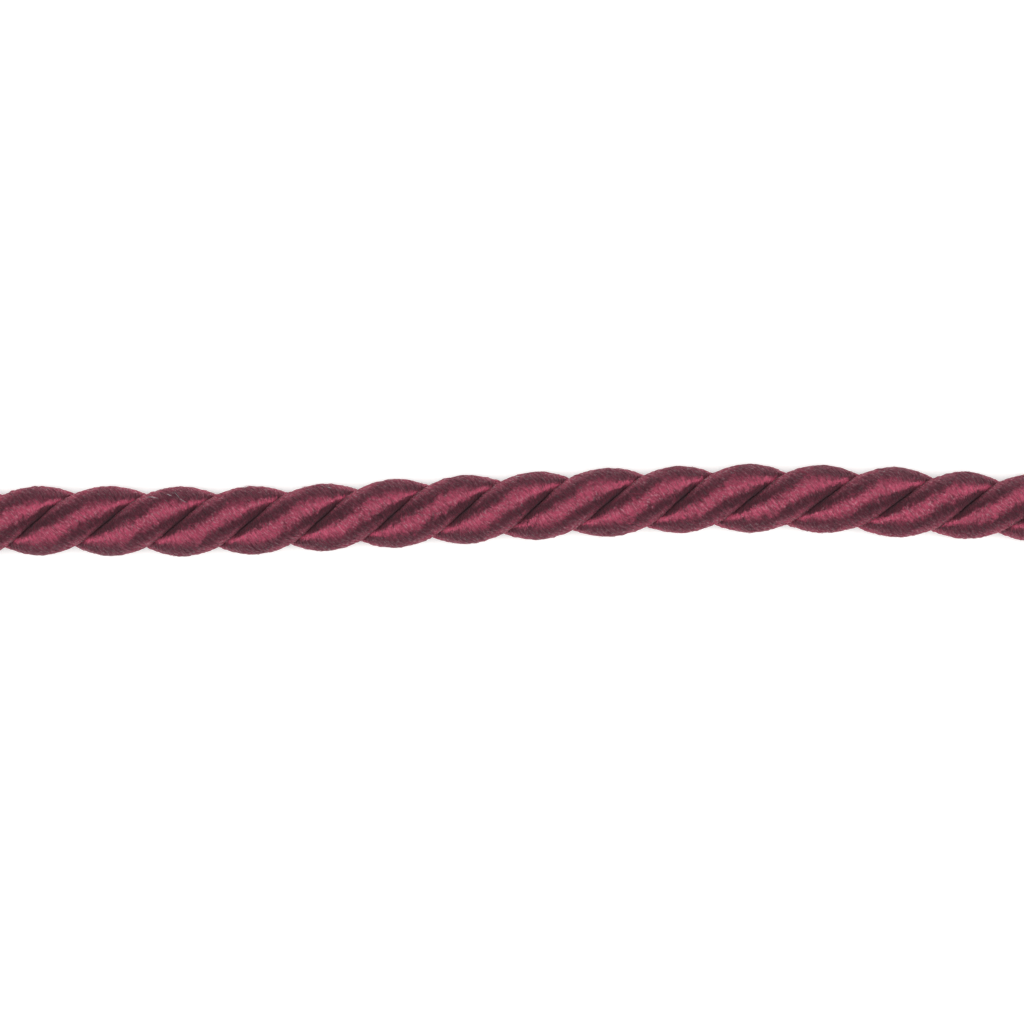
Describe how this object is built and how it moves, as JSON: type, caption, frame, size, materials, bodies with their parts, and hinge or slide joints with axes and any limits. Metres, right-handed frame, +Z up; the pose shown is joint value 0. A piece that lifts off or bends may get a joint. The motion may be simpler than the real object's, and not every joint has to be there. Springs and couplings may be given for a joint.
{
  "type": "twisted cord trim",
  "caption": "Cut length of twisted furnishing cord: two fat plies of crimson satin yarn wound round each other, lying in a slight bend.",
  "frame": {"origin": "bottom centre of the box round the cord, on the surface that it lies on", "axes": "+X along the cord from cut end to cut end, +Y across it on the surface, +Z up"},
  "size_m": [0.15, 0.0111, 0.0078],
  "materials": {
    "satin_yarn": "satin rayon yarn wound round each ply, soft gloss"
  },
  "bodies": {
    "root": {"ply_a": "satin_yarn", "ply_b": "satin_yarn"}
  },
  "joints": []
}
